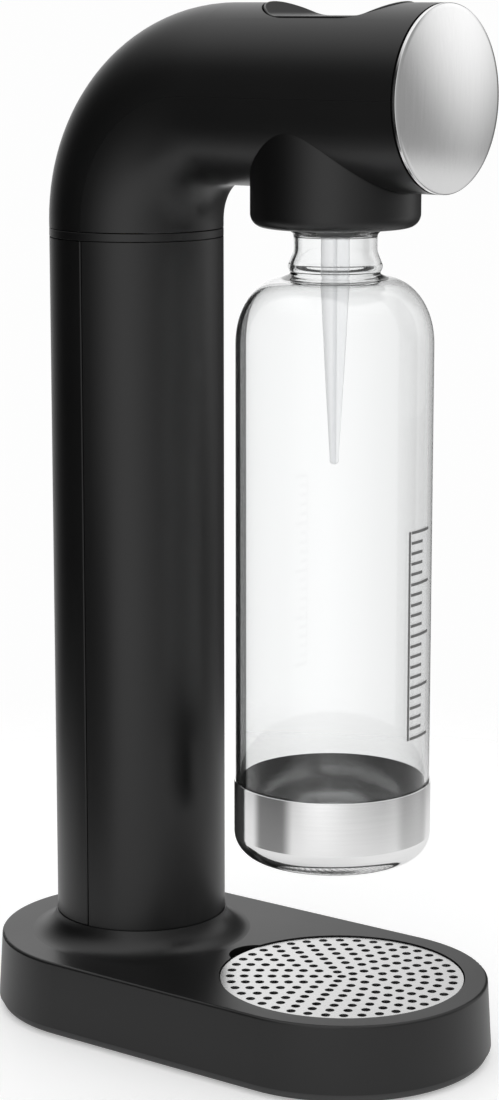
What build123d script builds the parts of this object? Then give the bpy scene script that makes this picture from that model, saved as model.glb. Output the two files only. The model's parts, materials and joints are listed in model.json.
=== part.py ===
from build123d import *
import math
import os

os.makedirs("parts", exist_ok=True)

# ---------------------------------------------------------------- driving dimensions (mm)
ARM_TOP_Z = 430.0  # floor to the top of the arm
TUBE_R = 36.4  # outer radius of the column and of the arm
SHELL = 2.4  # wall of the moulded shells
BEND_R = 52.7  # centre-line radius of the elbow
COLUMN_Y = 53.4  # column axis
BOTTLE_Y = -48.1  # bottle, boss and tilt axis
ARM_END_Y = -98.3  # where the arm tube stops
DISC_FACE_Y = -100.6  # rim of the front disc
DISC_DOME = 2.2  # rise of its slightly domed face

BASE_HEIGHT = 32.9
BASE_BOTTOM_R = 62.4  # end radius of the stadium at the seam
BASE_TOP_R = 60.7  # end radius at the deck
BASE_CENTRES = 106.8  # distance between the two end centres
BASE_SEAM_Z = 4.6
BASE_WALL = 2.8
PLATE_INSET = 1.1  # how far the base plate stands back from the housing
DECK = 3.0

GRILLE_Y = -53.5
GRILLE_R = 50.6
GRILLE_THICK = 1.2
WELL_R = 51.15  # bore that the drip tray drops into
HOLE_R = 1.9
HOLE_RINGS = 8
HOLE_PITCH = 5.8
NOTCH_R = 12.3

RING_BOTTOM_Z = 334.3
RING_TOP_Z = 337.9
SEAM_GAP = 0.25
SPLIT_GAP = 0.08  # between the two halves of the head
FOOT_TOP_Z = 42.6  # top of the flared column foot

BOSS_R = 33.9
BOSS_BOTTOM_Z = 342.6
BOSS_CAVITY_R = 31.5
BOSS_MOUTH_R = 25.0
TILT_Z = 352.0  # height of the bottle holder's tilt axis

BUTTON_Y = -49.6
BUTTON_LENGTH = 65.4
BUTTON_WIDTH = 39.4
BUTTON_GAP = 0.4
BUTTON_BOTTOM_Z = 414.0
DISH_Z = 424.9  # flat bottom of the button's finger saddle
DISH_HALF = 20.6  # half length of that flat bottom
DISH_RISE = 6.2  # rise of each sloping end
DISH_RUN = 12.1  # length of each sloping end
DISH_R = 13.0  # blend between bottom and ends
TIP_R = 12.0  # dome on the tips that push the lever and that it pushes

CYLINDER_R = 30.0
CYLINDER_BOTTOM_Z = 20.0
VALVE_TOP_Z = 358.0
PORT_Z = 365.4  # gas outlet of the valve receiver
GAS_SPOT = (23.4, BOTTLE_Y + 14.1)  # gas inlet of the holder frame; the relief valve mirrors it
THREAD_R = 10.5  # TR21 cylinder thread
LEVER_PIVOT_Y = 66.0
LEVER_PIVOT_Z = 382.0

BOTTLE_R = 39.7
BOTTLE_WALL = 1.8
BOTTLE_BOTTOM_Z = 84.7
SLEEVE_TOP_Z = 117.0
SLEEVE_R = 40.3

# ---------------------------------------------------------------- derived sizes
ARM_Z = ARM_TOP_Z - TUBE_R
BEND_Z = ARM_Z - BEND_R
BEND_Y = COLUMN_Y - BEND_R
TUBE_INNER_R = TUBE_R - SHELL
COLUMN_AXIS = Axis((0, COLUMN_Y, 0), (0, 0, 1))
BOTTLE_AXIS = Axis((0, BOTTLE_Y, 0), (0, 0, 1))
GRILLE_AXIS = Axis((0, GRILLE_Y, 0), (0, 0, 1))
ARM_AXIS = Axis((0, 0, ARM_Z), (0, 1, 0))
SIDE = Plane.YZ  # sketches seen from the +X side


def upright(centre_y):
    """Vertical plane through an axis at centre_y: local x is the radius, local y the height."""
    return Plane(origin=(0, centre_y, 0), x_dir=(1, 0, 0), z_dir=(0, -1, 0))


def profile(centre_y, *points):
    """Closed half profile of a turned piece, as (radius, height) points."""
    with BuildSketch(upright(centre_y)) as sketch:
        with BuildLine():
            Polyline(*points, close=True)
        make_face()
    return sketch.sketch


def collar(centre_y, outer, inner, low, high):
    """Half profile of a plain ring."""
    return profile(centre_y, (inner, low), (outer, low), (outer, high), (inner, high))


def stadium(height, radius):
    """Outline of the base at a height, with end arcs of the given radius."""
    with BuildSketch(Plane.XY.offset(height)) as sketch:
        SlotCenterToCenter(BASE_CENTRES, 2 * radius, rotation=90)
    return sketch.sketch


def tube_path():
    """Centre line of column top, elbow and arm, from the trim ring to the arm's end."""
    with BuildLine(SIDE) as line:
        Line((COLUMN_Y, RING_TOP_Z + SEAM_GAP), (COLUMN_Y, BEND_Z))
        CenterArc((BEND_Y, BEND_Z), BEND_R, 0, 90)
        Line((BEND_Y, ARM_Z), (ARM_END_Y, ARM_Z))
    return line.line


def tube_section(radius):
    """Disc across the column's axis at the start of the head."""
    with BuildSketch(Plane.XY.offset(RING_TOP_Z + SEAM_GAP)) as sketch:
        with Locations((0, COLUMN_Y)):
            Circle(radius)
    return sketch.sketch


def inside_bend(gap):
    """Side outline of everything on the bottle's side of the tube's centre line, less a gap."""
    reach = 60
    with BuildSketch(SIDE) as sketch:
        with BuildLine():
            Line((COLUMN_Y - gap, RING_TOP_Z - reach), (COLUMN_Y - gap, BEND_Z))
            CenterArc((BEND_Y, BEND_Z), BEND_R - gap, 0, 90)
            Polyline(
                (BEND_Y, ARM_Z - gap),
                (ARM_END_Y - reach, ARM_Z - gap),
                (ARM_END_Y - reach, RING_TOP_Z - reach),
                (COLUMN_Y - gap, RING_TOP_Z - reach),
            )
        make_face()
    return sketch.sketch


def button_outline(height, gap):
    """Stadium of the button opening, shrunk by a gap."""
    with BuildSketch(Plane.XY.offset(height)) as sketch:
        with Locations((0, BUTTON_Y)):
            SlotOverall(BUTTON_LENGTH - 2 * gap, BUTTON_WIDTH - 2 * gap, rotation=90)
    return sketch.sketch


def dish_outline():
    """Side view of what is scooped from the button's top to leave the finger saddle."""
    far = DISH_HALF + 3 * DISH_RUN
    high = DISH_Z + 3 * DISH_RISE
    with BuildSketch(SIDE) as sketch:
        with BuildLine():
            Polyline(
                (BUTTON_Y - far, high),
                (BUTTON_Y - DISH_HALF, DISH_Z),
                (BUTTON_Y + DISH_HALF, DISH_Z),
                (BUTTON_Y + far, high),
                close=True,
            )
        make_face()
        fillet(sketch.vertices().sort_by(Axis.Y)[:2], radius=DISH_R)
    return sketch.sketch


def tip_rise(radius):
    """How far a pushing tip's dome has fallen back at a radius."""
    return TIP_R - math.sqrt(TIP_R**2 - radius**2)


def on_tube(edge):
    """Whether an edge lies on the arm's outer surface."""
    middle = edge @ 0.5
    return abs(math.hypot(middle.X, middle.Z - ARM_Z) - TUBE_R) < 0.05


def dome_height(radius):
    """Height of the front disc's spherical face above its rim."""
    sphere = (36.0**2 + DISC_DOME**2) / (2 * DISC_DOME)
    return math.sqrt(sphere**2 - radius**2) - (sphere - DISC_DOME)


def coil(centre, radius, wire, height, turns):
    """Compression spring standing on a point."""
    with BuildPart() as spring:
        with BuildLine() as path:
            Helix(height / turns, height, radius, center=centre)
        with BuildSketch(Plane(origin=path.line @ 0, z_dir=path.line % 0)):
            Circle(wire)
        sweep(path=path.line, is_frenet=True)
    return spring.part


# ================================================================ base
with BuildPart() as base_housing:
    draft_angle = math.degrees(math.atan((BASE_BOTTOM_R - BASE_TOP_R) / (BASE_HEIGHT - BASE_SEAM_Z)))
    low = BASE_SEAM_Z + SEAM_GAP / 2
    extrude(stadium(low, BASE_BOTTOM_R), amount=BASE_HEIGHT - low, taper=draft_angle)
    fillet(base_housing.faces().sort_by(Axis.Z)[-1].edges(), radius=1.2)
    extrude(
        stadium(low, BASE_BOTTOM_R - BASE_WALL),
        amount=BASE_HEIGHT - DECK - low,
        taper=draft_angle,
        mode=Mode.SUBTRACT,
    )
    # flared foot that carries the column
    with BuildSketch(upright(COLUMN_Y)):
        with BuildLine():
            Line((TUBE_R + 0.6, FOOT_TOP_Z), (33.3, FOOT_TOP_Z))
            Line((33.3, FOOT_TOP_Z), (33.3, BASE_HEIGHT - DECK))
            Line((33.3, BASE_HEIGHT - DECK), (47.5, BASE_HEIGHT - DECK))
            Line((47.5, BASE_HEIGHT - DECK), (47.5, BASE_HEIGHT))
            ThreePointArc((47.5, BASE_HEIGHT), (40.3, 35.9), (TUBE_R + 0.6, FOOT_TOP_Z))
        make_face()
    revolve(axis=COLUMN_AXIS)
    # shaft for the gas cylinder and its seat
    with BuildSketch(Plane.XY.offset(BASE_HEIGHT - DECK - 1)):
        with Locations((0, COLUMN_Y)):
            Circle(33.3)
    extrude(amount=DECK + 2, mode=Mode.SUBTRACT)
    # well that holds the drip tray
    revolve(
        profile(
            GRILLE_Y, (0, 9.8), (WELL_R + 2, 9.8), (WELL_R + 2, 31), (WELL_R, 31), (WELL_R, 11.8), (0, 11.8)
        ),
        axis=GRILLE_AXIS,
    )
    with BuildSketch(Plane.XY.offset(23.0)):
        with Locations((0, GRILLE_Y + 43.5)):
            Circle(NOTCH_R + 2)
    extrude(amount=8.5)
    with BuildSketch(Plane.XY.offset(24.6)):
        with Locations((0, GRILLE_Y + 43.5)):
            Circle(NOTCH_R)
    extrude(amount=12, mode=Mode.SUBTRACT)
    with BuildSketch(Plane.XY.offset(11.8)):
        with Locations((0, GRILLE_Y)):
            Circle(WELL_R)
    extrude(amount=30, mode=Mode.SUBTRACT)
    # screw posts
    screw_spots = [(50, 2), (-50, 2), (32, 93), (-32, 93)]
    with BuildSketch(Plane.XY.offset(low)):
        with Locations(*screw_spots):
            Circle(4.5)
    extrude(amount=BASE_HEIGHT - DECK - low + 0.5)
    with BuildSketch(Plane.XY.offset(low)):
        with Locations(*screw_spots):
            Circle(1.6)
    extrude(amount=14, mode=Mode.SUBTRACT)

with BuildPart() as base_plate:
    extrude(stadium(0.9, BASE_BOTTOM_R - PLATE_INSET), amount=BASE_SEAM_Z - SEAM_GAP / 2 - 0.9)
    fillet(base_plate.faces().sort_by(Axis.Z)[0].edges(), radius=2.4)
    # locating lip inside the housing wall
    extrude(stadium(BASE_SEAM_Z - SEAM_GAP / 2, BASE_BOTTOM_R - BASE_WALL - 0.6), amount=3.0)
    extrude(
        stadium(BASE_SEAM_Z - SEAM_GAP / 2, BASE_BOTTOM_R - BASE_WALL - 2.4), amount=3.0, mode=Mode.SUBTRACT
    )
    # guide post of the cylinder seat
    with BuildSketch(Plane.XY.offset(BASE_SEAM_Z - 1)):
        with Locations((0, COLUMN_Y)):
            Circle(6.0)
    extrude(amount=9.9)
    # recesses for the feet and the screw heads
    foot_spots = [(42, -78), (-42, -78), (50, -26), (-50, -26), (48, 60), (-48, 60), (0, -103), (0, 103)]
    with BuildSketch(Plane.XY):
        with Locations(*foot_spots):
            Circle(7.0)
    extrude(amount=2.2, mode=Mode.SUBTRACT)
    with BuildSketch(Plane.XY):
        with Locations(*screw_spots):
            Circle(3.4)
    extrude(amount=2.8, mode=Mode.SUBTRACT)
    with BuildSketch(Plane.XY):
        with Locations(*screw_spots):
            Circle(1.9)
    extrude(amount=9, mode=Mode.SUBTRACT)

with BuildPart() as base_feet:
    with BuildSketch(Plane.XY):
        with Locations(*foot_spots):
            Circle(6.8)
    extrude(amount=2.2)
    fillet(base_feet.edges().filter_by(GeomType.CIRCLE).group_by(Axis.Z)[0], radius=0.5)

with BuildPart() as base_screws:
    with BuildSketch(Plane.XY.offset(1.2)):
        with Locations(*screw_spots):
            Circle(3.1)
    extrude(amount=1.6)
    with BuildSketch(Plane.XY.offset(2.8)):
        with Locations(*screw_spots):
            Circle(1.5)
    extrude(amount=12)
    with BuildSketch(Plane.XY.offset(1.2)):
        with Locations(*screw_spots):
            RegularPolygon(1.5, 6)
    extrude(amount=1.0, mode=Mode.SUBTRACT)

with BuildPart() as drip_tray:
    revolve(
        profile(
            GRILLE_Y,
            (0, 12.3),
            (47.4, 12.3),
            (50.0, 15.0),
            (50.6, 30.9),
            (48.9, 30.9),
            (48.9, 28.4),
            (48.2, 15.8),
            (46.4, 14.0),
            (0, 14.0),
        ),
        axis=GRILLE_AXIS,
    )
    with BuildSketch(Plane.XY.offset(24.6)):
        with Locations((0, GRILLE_Y + 43.5)):
            Circle(NOTCH_R)
    extrude(amount=12, mode=Mode.SUBTRACT)

with BuildPart() as drip_grille:
    grille_low = 31.1
    with BuildSketch(Plane.XY.offset(grille_low)):
        with Locations((0, GRILLE_Y)):
            Circle(GRILLE_R)
            Circle(HOLE_R, mode=Mode.SUBTRACT)
            for ring in range(1, HOLE_RINGS + 1):
                with PolarLocations(ring * HOLE_PITCH, 5 * ring, start_angle=-90):
                    Circle(HOLE_R, mode=Mode.SUBTRACT)
    extrude(amount=GRILLE_THICK)
    # folded rim that stiffens the plate
    revolve(collar(GRILLE_Y, 48.7, 47.9, grille_low - 2.0, grille_low), axis=GRILLE_AXIS)

# ================================================================ column
with BuildPart() as column_front_shell:
    revolve(
        collar(COLUMN_Y, TUBE_R, TUBE_INNER_R, FOOT_TOP_Z, RING_BOTTOM_Z - SEAM_GAP / 2), axis=COLUMN_AXIS
    )
    split(bisect_by=Plane.XZ.offset(-COLUMN_Y + 0.2), keep=Keep.TOP)
    seam_edges = column_front_shell.faces().filter_by(Axis.Y).edges().filter_by(Axis.Z)
    chamfer(seam_edges.group_by(SortBy.LENGTH)[-1].sort_by(lambda e: abs(e.center().X))[-2:], length=0.4)

with BuildPart() as rear_cover:
    revolve(
        collar(COLUMN_Y, TUBE_R, TUBE_INNER_R, FOOT_TOP_Z + 0.3, RING_BOTTOM_Z - SEAM_GAP), axis=COLUMN_AXIS
    )
    split(bisect_by=Plane.XZ.offset(-COLUMN_Y - 0.2), keep=Keep.BOTTOM)
    cover_edges = rear_cover.faces().filter_by(Axis.Y).edges().filter_by(Axis.Z)
    chamfer(cover_edges.sort_by(lambda e: abs(e.center().X))[-2:], length=0.4)
    # moulded clips that reach behind the front shell's edges
    for side in (-1, 1):
        for height in (80, 195, 310):
            with BuildSketch(Plane.XY.offset(height)):
                with Locations((side * 32.0, COLUMN_Y)):
                    Rectangle(1.8, 13)
                with Locations((side * 33.0, COLUMN_Y + 3.6)):
                    Rectangle(3.4, 5.8)
            extrude(amount=14)

with BuildPart() as column_ring:
    revolve(
        collar(COLUMN_Y, TUBE_R, TUBE_INNER_R - 0.8, RING_BOTTOM_Z + SEAM_GAP / 2, RING_TOP_Z - SEAM_GAP / 2),
        axis=COLUMN_AXIS,
    )
    chamfer(column_ring.edges().filter_by(GeomType.CIRCLE).sort_by(SortBy.RADIUS)[-2:], length=0.2)

bracket_spots = [(17.6, 27.6), (-17.6, 27.6)]
with BuildPart() as spine_frame:
    spine_top = 356.3
    spine_low = BASE_SEAM_Z - SEAM_GAP / 2
    with BuildSketch(Plane.XY.offset(spine_low)):
        with Locations((0, COLUMN_Y)):
            Circle(33.0)
            Circle(31.0, mode=Mode.SUBTRACT)
            Rectangle(47, 34, align=(Align.CENTER, Align.MAX), mode=Mode.INTERSECT)
    extrude(amount=spine_top - spine_low)
    # screw posts under the valve bracket
    with BuildSketch(Plane.XY.offset(spine_top)):
        with Locations(*bracket_spots):
            Circle(3.2)
    extrude(amount=-8)
    with BuildSketch(Plane.XY.offset(spine_top)):
        with Locations(*bracket_spots):
            Circle(1.55)
    extrude(amount=-6.5, mode=Mode.SUBTRACT)
    # foot flange on the base plate
    with BuildSketch(Plane.XY.offset(spine_low)):
        with Locations((0, COLUMN_Y)):
            Circle(36.5)
            Circle(31.0, mode=Mode.SUBTRACT)
            Rectangle(47, 38, align=(Align.CENTER, Align.MAX), mode=Mode.INTERSECT)
    extrude(amount=3.0)

with BuildPart() as cylinder_seat:
    revolve(
        profile(
            COLUMN_Y,
            (6.4, 9.8),
            (8.6, 9.8),
            (8.6, 15.4),
            (28.5, 15.4),
            (28.5, 19.7),
            (17.0, 19.7),
            (12.0, 22.2),
            (0, 22.2),
            (0, 20.4),
            (6.4, 20.4),
        ),
        axis=COLUMN_AXIS,
    )

seat_spring_part = coil((0, COLUMN_Y, 5.4), 14.0, 0.8, 9.0, 3)
with BuildPart() as seat_spring:
    add(seat_spring_part)

with BuildPart() as gas_cylinder:
    with BuildSketch(upright(COLUMN_Y)):
        with BuildLine():
            Polyline((0, 26.0), (12, 25.4), (20, CYLINDER_BOTTOM_Z), (22, CYLINDER_BOTTOM_Z))
            ThreePointArc((22, CYLINDER_BOTTOM_Z), (27.66, 22.34), (CYLINDER_R, 28))
            Line((CYLINDER_R, 28), (CYLINDER_R, 296))
            ThreePointArc((CYLINDER_R, 296), (25.6, 310), (14.5, 319.5))
            Line((14.5, 319.5), (14.5, 328))
            Line((14.5, 328), (0, 328))
            Line((0, 328), (0, 26.0))
        make_face()
    revolve(axis=COLUMN_AXIS)
    revolve(
        profile(
            COLUMN_Y, (0, 31), (16, 30), (24, 33), (26.6, 38), (26.6, 294), (22, 306), (8.5, 314), (0, 314)
        ),
        axis=COLUMN_AXIS,
        mode=Mode.SUBTRACT,
    )
    with BuildSketch(Plane.XY.offset(329)):
        with Locations((0, COLUMN_Y)):
            Circle(8.5)
    extrude(amount=-16, mode=Mode.SUBTRACT)

with BuildPart() as cylinder_valve:
    with BuildSketch(Plane.XY.offset(328)):
        with Locations((0, COLUMN_Y)):
            RegularPolygon(12.5, 6)
    extrude(amount=9)
    with BuildSketch(Plane.XY.offset(315)):
        with Locations((0, COLUMN_Y)):
            Circle(8.5)
    extrude(amount=13)
    revolve(collar(COLUMN_Y, THREAD_R - 1.4, 0, 337, VALVE_TOP_Z), axis=COLUMN_AXIS)
    for turn in range(4):
        crest = VALVE_TOP_Z - 3.4 - 4.0 * turn
        revolve(
            profile(
                COLUMN_Y,
                (THREAD_R - 1.6, crest - 1.6),
                (THREAD_R - 0.1, crest - 0.7),
                (THREAD_R - 0.1, crest + 0.7),
                (THREAD_R - 1.6, crest + 1.6),
            ),
            axis=COLUMN_AXIS,
        )
    with BuildSketch(Plane.XY.offset(VALVE_TOP_Z)):
        with Locations((0, COLUMN_Y)):
            Circle(1.56)
    extrude(amount=-9, mode=Mode.SUBTRACT)

with BuildPart() as cylinder_valve_pin:
    with BuildSketch(Plane.XY.offset(351)):
        with Locations((0, COLUMN_Y)):
            Circle(1.5)
    extrude(amount=8.0)

# ================================================================ gas valve in the elbow
with BuildPart() as valve_receiver:
    revolve(
        profile(
            COLUMN_Y,
            (10.8, 353.3),
            (15.0, 353.3),
            (15.0, 364.0),
            (11.0, 370.0),
            (2.56, 370.0),
            (2.56, 360.3),
            (10.8, 360.3),
        ),
        axis=COLUMN_AXIS,
    )
    # flat face and port for the hose fitting
    with BuildSketch(Plane.XZ.offset(-(COLUMN_Y - 10))):
        with Locations((0, PORT_Z)):
            Circle(4.6)
    extrude(amount=8.0)
    with BuildSketch(Plane.XZ.offset(-(COLUMN_Y - 10))):
        with Locations((0, PORT_Z)):
            Circle(2.0)
    extrude(amount=9.0, mode=Mode.SUBTRACT)

with BuildPart() as receiver_seal:
    revolve(collar(COLUMN_Y, 10.7, 3.4, 358.2, 360.2), axis=COLUMN_AXIS)

with BuildPart() as valve_plunger:
    plunger_top = LEVER_PIVOT_Z - 3.1
    with BuildSketch(upright(COLUMN_Y)):
        with BuildLine():
            Polyline((0, plunger_top), (0, 359.9), (2.0, 359.9), (2.5, 360.6), (2.5, 376.0), (5.0, 376.0))
            Line((5.0, 376.0), (5.0, plunger_top - tip_rise(5.0)))
            ThreePointArc(
                (5.0, plunger_top - tip_rise(5.0)), (2.5, plunger_top - tip_rise(2.5)), (0, plunger_top)
            )
        make_face()
    revolve(axis=COLUMN_AXIS)

plunger_spring_part = coil((0, COLUMN_Y, 370.7), 4.0, 0.4, 4.6, 3)
with BuildPart() as plunger_spring:
    add(plunger_spring_part)

with BuildPart() as valve_bracket:
    bracket_low = 356.4
    with BuildSketch(Plane.XY.offset(bracket_low)):
        with Locations((0, COLUMN_Y)):
            Circle(24.0)
        with Locations((0, COLUMN_Y)):
            Rectangle(43, 29, align=(Align.CENTER, Align.MAX))
        with Locations((0, COLUMN_Y)):
            Circle(15.15, mode=Mode.SUBTRACT)
    extrude(amount=3.4)
    # ears that carry the lever pin
    for side in (-1, 1):
        with BuildSketch(Plane.YZ.offset(side * 9.0)):
            with BuildLine():
                Line((LEVER_PIVOT_Y - 5, bracket_low + 2), (LEVER_PIVOT_Y - 5, LEVER_PIVOT_Z))
                ThreePointArc(
                    (LEVER_PIVOT_Y - 5, LEVER_PIVOT_Z),
                    (LEVER_PIVOT_Y, LEVER_PIVOT_Z + 5),
                    (LEVER_PIVOT_Y + 5, LEVER_PIVOT_Z),
                )
                Line((LEVER_PIVOT_Y + 5, LEVER_PIVOT_Z), (LEVER_PIVOT_Y + 5, bracket_low + 2))
                Line((LEVER_PIVOT_Y + 5, bracket_low + 2), (LEVER_PIVOT_Y - 5, bracket_low + 2))
            make_face()
        extrude(amount=1.3, both=True)
    with BuildSketch(Plane.YZ.offset(-20)):
        with Locations((LEVER_PIVOT_Y, LEVER_PIVOT_Z)):
            Circle(2.03)
    extrude(amount=40, mode=Mode.SUBTRACT)
    with BuildSketch(Plane.XY.offset(bracket_low - 1)):
        with Locations((0, COLUMN_Y)):
            Circle(15.15)
    extrude(amount=16, mode=Mode.SUBTRACT)
    with BuildSketch(Plane.XY.offset(bracket_low - 1)):
        with Locations(*bracket_spots):
            Circle(1.7)
    extrude(amount=9, mode=Mode.SUBTRACT)

with BuildPart() as bracket_screws:
    with BuildSketch(Plane.XY.offset(359.8)):
        with Locations(*bracket_spots):
            Circle(2.8)
    extrude(amount=1.8)
    with BuildSketch(Plane.XY.offset(350.0)):
        with Locations(*bracket_spots):
            Circle(1.5)
    extrude(amount=10.0)

with BuildPart() as lever_pin:
    with BuildSketch(Plane.YZ.offset(-11.5)):
        with Locations((LEVER_PIVOT_Y, LEVER_PIVOT_Z)):
            Circle(2.0)
    extrude(amount=23)

with BuildPart() as actuator_lever:
    lever_low = LEVER_PIVOT_Z - 3
    with BuildSketch(Plane.XY.offset(lever_low)):
        with Locations((0, (LEVER_PIVOT_Y + BOTTLE_Y) / 2)):
            Rectangle(9, LEVER_PIVOT_Y - BOTTLE_Y)
        with Locations((0, BOTTLE_Y)):
            Circle(7.5)
    extrude(amount=6)
    with BuildSketch(Plane.YZ.offset(-6.5)):
        with Locations((LEVER_PIVOT_Y, LEVER_PIVOT_Z)):
            Circle(4.6)
    extrude(amount=13)
    with BuildSketch(Plane.YZ.offset(-8)):
        with Locations((LEVER_PIVOT_Y, LEVER_PIVOT_Z)):
            Circle(2.05)
    extrude(amount=16, mode=Mode.SUBTRACT)

# ================================================================ head shells
head_screw_spots = [(side * 29.4, y) for side in (-1, 1) for y in (-86, -4)]

with BuildPart() as head_upper_shell:
    sweep(tube_section(TUBE_R), path=tube_path())
    sweep(tube_section(TUBE_INNER_R), path=tube_path(), mode=Mode.SUBTRACT)
    with BuildSketch(Plane.XY.offset(ARM_Z)):
        with Locations(*head_screw_spots):
            Circle(4.8)
            Circle(1.5, mode=Mode.SUBTRACT)
    extrude(amount=7)
    extrude(inside_bend(-SPLIT_GAP / 2), amount=TUBE_R + 5, both=True, mode=Mode.SUBTRACT)
    opening_edges = head_upper_shell.edges()
    extrude(button_outline(400, 0), amount=40, mode=Mode.SUBTRACT)
    outer_edges = head_upper_shell.edges() - opening_edges
    rim_edges = outer_edges.filter_by_position(Axis.Z, ARM_Z + 28, ARM_TOP_Z + 1)
    chamfer([e for e in rim_edges if on_tube(e)], length=0.4)

with BuildPart() as head_lower_shell:
    sweep(tube_section(TUBE_R), path=tube_path())
    with BuildSketch(Plane.XY.offset(BOSS_BOTTOM_Z)):
        with Locations((0, BOTTLE_Y)):
            Circle(BOSS_R)
    extrude(amount=ARM_Z - BOSS_BOTTOM_Z)
    fillet(head_lower_shell.edges().filter_by_position(Axis.Z, 342, 343), radius=5.5)
    sweep(tube_section(TUBE_INNER_R), path=tube_path(), mode=Mode.SUBTRACT)
    with BuildSketch(Plane.XY.offset(BOSS_BOTTOM_Z + 2.6)):
        with Locations((0, BOTTLE_Y)):
            Circle(BOSS_CAVITY_R)
    extrude(amount=ARM_Z - BOSS_BOTTOM_Z, mode=Mode.SUBTRACT)
    with BuildSketch(Plane.XY.offset(BOSS_BOTTOM_Z - 1)):
        with Locations((0, BOTTLE_Y)):
            Circle(BOSS_MOUTH_R)
    extrude(amount=10, mode=Mode.SUBTRACT)
    with BuildSketch(Plane.XY.offset(ARM_Z - 9)):
        with Locations(*head_screw_spots):
            Circle(4.8)
    extrude(amount=9)
    with BuildSketch(Plane.XY.offset(ARM_Z - 10)):
        with Locations(*head_screw_spots):
            Circle(1.5)
    extrude(amount=10, mode=Mode.SUBTRACT)
    extrude(inside_bend(SPLIT_GAP / 2), amount=TUBE_R + 5, both=True, mode=Mode.INTERSECT)

with BuildPart() as head_screws:
    with BuildSketch(Plane.XY.offset(ARM_Z - 11)):
        with Locations(*head_screw_spots):
            Circle(2.3)
    extrude(amount=2)
    with BuildSketch(Plane.XY.offset(ARM_Z - 9)):
        with Locations(*head_screw_spots):
            Circle(1.4)
    extrude(amount=14)

# ================================================================ button
SPRING_Y = [BUTTON_Y + side * 22 for side in (-1, 1)]

with BuildPart() as carbonation_button:
    extrude(button_outline(BUTTON_BOTTOM_Z, BUTTON_GAP), amount=ARM_TOP_Z + 5 - BUTTON_BOTTOM_Z)
    extrude(dish_outline(), amount=BUTTON_WIDTH, both=True, mode=Mode.SUBTRACT)
    fillet(carbonation_button.edges().filter_by_position(Axis.Z, DISH_Z - 0.1, ARM_TOP_Z + 5), radius=0.7)
    # stem that pushes the lever
    stem_tip = LEVER_PIVOT_Z + 3.1
    with BuildSketch(upright(BOTTLE_Y)):
        with BuildLine():
            ThreePointArc((0, stem_tip), (2.5, stem_tip + tip_rise(2.5)), (5.0, stem_tip + tip_rise(5.0)))
            Polyline(
                (5.0, stem_tip + tip_rise(5.0)),
                (5.0, BUTTON_BOTTOM_Z + 1),
                (0, BUTTON_BOTTOM_Z + 1),
                (0, stem_tip),
            )
        make_face()
    revolve(axis=BOTTLE_AXIS)
    with BuildSketch(Plane.XY.offset(BUTTON_BOTTOM_Z)):
        with Locations(*[(0, y) for y in SPRING_Y]):
            Circle(4.2)
    extrude(amount=2.0, mode=Mode.SUBTRACT)

# plate on the head's screw posts that carries the button springs and guides the stem
CARRIER_LOW = ARM_Z + 7
CARRIER_TOP = CARRIER_LOW + 3
with BuildPart() as button_carrier:
    with BuildSketch(Plane.XY.offset(CARRIER_LOW)):
        with Locations((0, -45)):
            Rectangle(63.0, 90.0)
        with Locations((0, BOTTLE_Y)):
            Circle(5.4, mode=Mode.SUBTRACT)
    extrude(amount=3.0)
    with BuildSketch(Plane.XY.offset(CARRIER_TOP - 9)):
        with Locations((0, BOTTLE_Y)):
            Circle(8.0)
            Circle(5.4, mode=Mode.SUBTRACT)
    extrude(amount=7.0)

SPRING_LOW = CARRIER_TOP + 0.6
spring_parts = [coil((0, y, SPRING_LOW), 3.2, 0.45, BUTTON_BOTTOM_Z + 1.4 - SPRING_LOW, 4) for y in SPRING_Y]
with BuildPart() as button_springs:
    add(spring_parts)

# ================================================================ arm end
with BuildPart() as disc_carrier:
    with BuildSketch(Plane.XZ.offset(-ARM_END_Y - 6)):
        with Locations((0, ARM_Z)):
            Circle(TUBE_INNER_R - 0.2)
            Circle(TUBE_INNER_R - 3, mode=Mode.SUBTRACT)
    extrude(amount=6.0)
    with BuildSketch(Plane.XZ.offset(-ARM_END_Y)):
        with Locations((0, ARM_Z)):
            Circle(TUBE_R - 1.2)
    extrude(amount=0.7)
    with BuildSketch(Plane.XZ.offset(-ARM_END_Y - 2)):
        with Locations((0, ARM_Z)):
            Circle(TUBE_INNER_R - 2)
    extrude(amount=2.2)

with BuildPart() as front_disc:
    rim = -ARM_END_Y + 0.7
    face = -DISC_FACE_Y
    with BuildSketch(Plane(origin=(0, 0, ARM_Z), x_dir=(1, 0, 0), z_dir=(0, 0, 1))):
        with BuildLine():
            Line((0, -rim), (36.0, -rim))
            Line((36.0, -rim), (36.35, -rim - 0.35))
            Line((36.35, -rim - 0.35), (36.35, -face + 0.3))
            Line((36.35, -face + 0.3), (36.0, -face))
            ThreePointArc((36.0, -face), (18.0, -face - dome_height(18.0)), (0, -face - DISC_DOME))
            Line((0, -face - DISC_DOME), (0, -rim))
        make_face()
    revolve(axis=ARM_AXIS)

# ================================================================ bottle holder inside the boss
with BuildPart() as holder_frame:
    revolve(collar(BOTTLE_Y, 31.2, 28.0, 346.0, 362.0), axis=BOTTLE_AXIS)
    with BuildSketch(Plane.XY.offset(359.0)):
        with Locations(GAS_SPOT, (-GAS_SPOT[0], GAS_SPOT[1])):
            Circle(3.4)
    extrude(amount=3.0)
    for side in (-1, 1):
        with BuildSketch(Plane.YZ.offset(side * 26.6)):
            with Locations((BOTTLE_Y, TILT_Z)):
                Circle(5.5)
        extrude(amount=2.4, both=True)
    with BuildSketch(Plane.YZ.offset(-31)):
        with Locations((BOTTLE_Y, TILT_Z)):
            Circle(3.0)
    extrude(amount=62, mode=Mode.SUBTRACT)

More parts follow.
